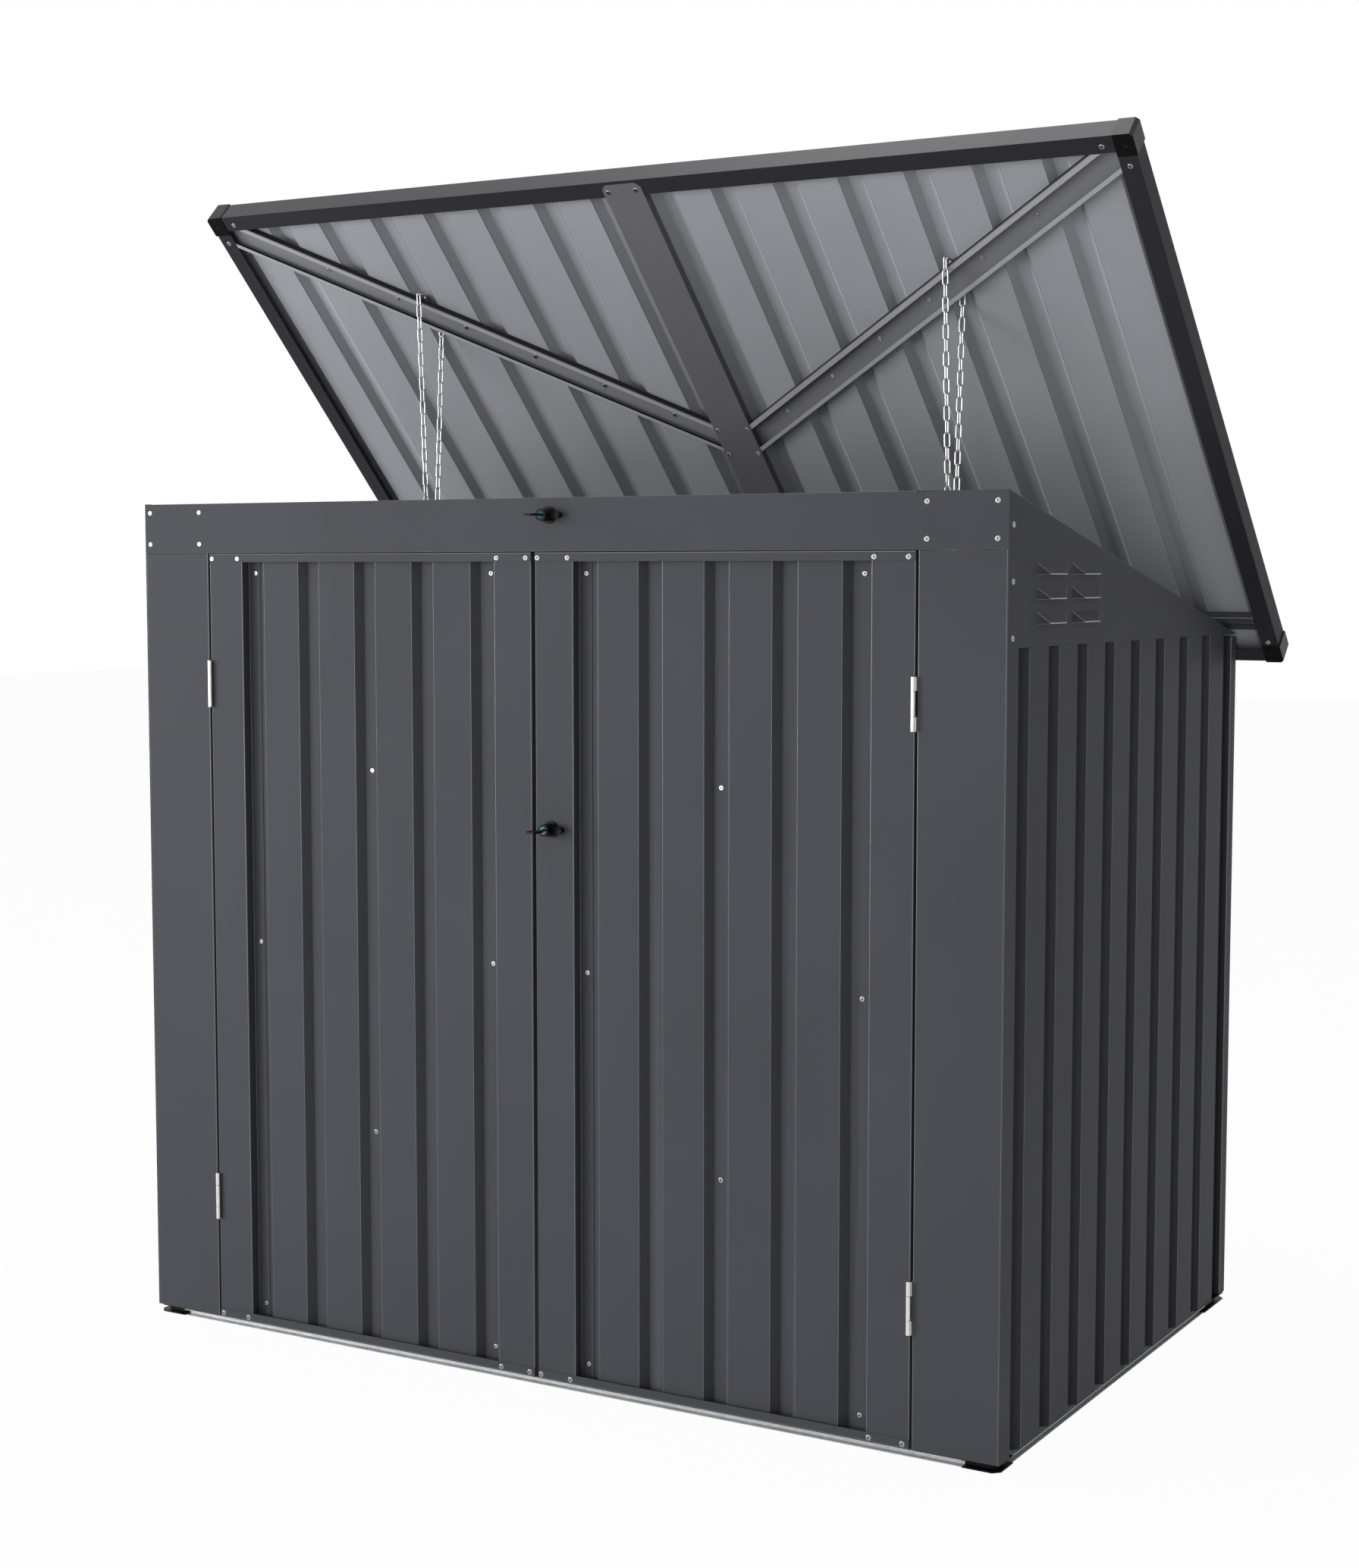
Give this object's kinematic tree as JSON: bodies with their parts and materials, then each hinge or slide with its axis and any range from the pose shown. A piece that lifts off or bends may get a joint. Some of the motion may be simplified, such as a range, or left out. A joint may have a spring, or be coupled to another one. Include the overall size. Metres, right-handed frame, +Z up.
{
  "type": "wheelie bin store",
  "caption": "Sheet metal store for wheelie bins with front doors and a rear-hinged lid whose chains lift the bins' lids, shown with the lid raised.",
  "frame": {"origin": "on the ground, under the middle of the whole object at rest", "axes": "+Z up, doors facing -Y, +X to the right seen from the doors"},
  "size_m": [1.644, 1.0721, 1.8413],
  "materials": {
    "anthracite_sheet": "satin powder coat",
    "black_plastic": "satin moulded",
    "galvanised": "galvanised",
    "zinc_screws": "bright zinc",
    "hinge_steel": "bright",
    "chain_steel": "bright chain",
    "lock_steel": "polished"
  },
  "bodies": {
    "store": {"corner_feet": "black_plastic", "base_front_rail": "galvanised", "base_rear_rail": "galvanised", "base_side_rails": "galvanised", "front_pillar_left": "anthracite_sheet", "front_pillar_right": "anthracite_sheet", "header": "anthracite_sheet", "rear_post_left": "anthracite_sheet", "rear_post_right": "anthracite_sheet", "rear_top_rail": "anthracite_sheet", "side_panel_left": "anthracite_sheet", "side_panel_right": "anthracite_sheet", "back_panel": "anthracite_sheet", "gable_left": "anthracite_sheet", "gable_right": "anthracite_sheet", "door_hinge_fixed_leaves": "hinge_steel", "lid_hinge_fixed_leaves": "hinge_steel", "hinge_pins": "hinge_steel", "frame_screws": "zinc_screws", "lid_lock_housing": "black_plastic"},
    "left_door": {"left_door_hinge_stile": "anthracite_sheet", "left_door_meeting_stile": "anthracite_sheet", "left_door_rails": "anthracite_sheet", "left_door_panel": "anthracite_sheet", "left_door_braces": "anthracite_sheet", "left_door_hinge_leaves": "hinge_steel", "left_door_screws": "zinc_screws"},
    "right_door": {"right_door_hinge_stile": "anthracite_sheet", "right_door_meeting_stile": "anthracite_sheet", "right_door_rails": "anthracite_sheet", "right_door_panel": "anthracite_sheet", "right_door_braces": "anthracite_sheet", "right_door_hinge_leaves": "hinge_steel", "right_door_screws": "zinc_screws", "door_lock_housing": "black_plastic"},
    "lid": {"lid_front_rail": "anthracite_sheet", "lid_rear_rail": "anthracite_sheet", "lid_side_rails": "anthracite_sheet", "lid_corner_caps": "black_plastic", "lid_roof_sheet_left": "anthracite_sheet", "lid_roof_sheet_right": "anthracite_sheet", "lid_centre_strip": "anthracite_sheet", "lid_braces": "anthracite_sheet", "lid_hinge_rail": "anthracite_sheet", "lid_hinge_leaves": "hinge_steel", "lid_screws": "zinc_screws", "lid_chain_wraps": "chain_steel"},
    "lid_lock_handle": {"lid_lock_knob": "black_plastic", "lid_lock_cam": "lock_steel"},
    "lid_lock_barrel": {"lid_lock_cylinder": "lock_steel", "lid_lock_key": "black_plastic"},
    "door_lock_handle": {"door_lock_knob": "black_plastic", "door_lock_cam": "lock_steel"},
    "door_lock_barrel": {"door_lock_cylinder": "lock_steel", "door_lock_key": "black_plastic"},
    "chain_left_front": {"chain_left_front": "chain_steel"},
    "chain_left_rear": {"chain_left_rear": "chain_steel"},
    "chain_right_front": {"chain_right_front": "chain_steel"},
    "chain_right_rear": {"chain_right_rear": "chain_steel"}
  },
  "joints": [
    {"name": "lid_hinge", "type": "hinge", "parent": "store", "child": "lid", "pos_m": [0, 0.45775, 1.1316], "axis": [1, 0, 0], "range_deg": [0, 32.47]},
    {"name": "left_door_hinge", "type": "hinge", "parent": "store", "child": "left_door", "pos_m": [-0.6155, -0.48385, 0.63], "axis": [0, 0, -1], "range_deg": [0, 170]},
    {"name": "right_door_hinge", "type": "hinge", "parent": "store", "child": "right_door", "pos_m": [0.6155, -0.48385, 0.63], "axis": [0, 0, 1], "range_deg": [0, 170]},
    {"name": "lid_lock_turn", "type": "hinge", "parent": "store", "child": "lid_lock_handle", "pos_m": [0.028, -0.47985, 1.302], "axis": [0, 1, 0], "range_deg": [0, 90]},
    {"name": "lid_key_turn", "type": "hinge", "parent": "lid_lock_handle", "child": "lid_lock_barrel", "pos_m": [0.028, -0.49685, 1.302], "axis": [0, 1, 0], "range_deg": [0, 90]},
    {"name": "door_lock_turn", "type": "hinge", "parent": "right_door", "child": "door_lock_handle", "pos_m": [0.03, -0.47985, 0.842], "axis": [0, 1, 0], "range_deg": [0, 90]},
    {"name": "door_key_turn", "type": "hinge", "parent": "door_lock_handle", "child": "door_lock_barrel", "pos_m": [0.03, -0.49685, 0.842], "axis": [0, 1, 0], "range_deg": [0, 90]},
    {"name": "chain_left_front_swing", "type": "hinge", "parent": "lid", "child": "chain_left_front", "pos_m": [-0.48195, -0.09813, 1.68384], "axis": [1, 0, 0], "range_deg": [-33, 0]},
    {"name": "chain_left_rear_swing", "type": "hinge", "parent": "lid", "child": "chain_left_rear", "pos_m": [-0.48195, -0.03304, 1.61915], "axis": [1, 0, 0], "range_deg": [-33, 0]},
    {"name": "chain_right_front_swing", "type": "hinge", "parent": "lid", "child": "chain_right_front", "pos_m": [0.48195, -0.09813, 1.68384], "axis": [1, 0, 0], "range_deg": [-33, 0]},
    {"name": "chain_right_rear_swing", "type": "hinge", "parent": "lid", "child": "chain_right_rear", "pos_m": [0.48195, -0.03304, 1.61915], "axis": [1, 0, 0], "range_deg": [-33, 0]}
  ],
  "couplings": [
    {"joint": "chain_left_front_swing", "follows": "lid_hinge", "ratio": -1},
    {"joint": "chain_left_rear_swing", "follows": "lid_hinge", "ratio": -1},
    {"joint": "chain_right_front_swing", "follows": "lid_hinge", "ratio": -1},
    {"joint": "chain_right_rear_swing", "follows": "lid_hinge", "ratio": -1}
  ]
}
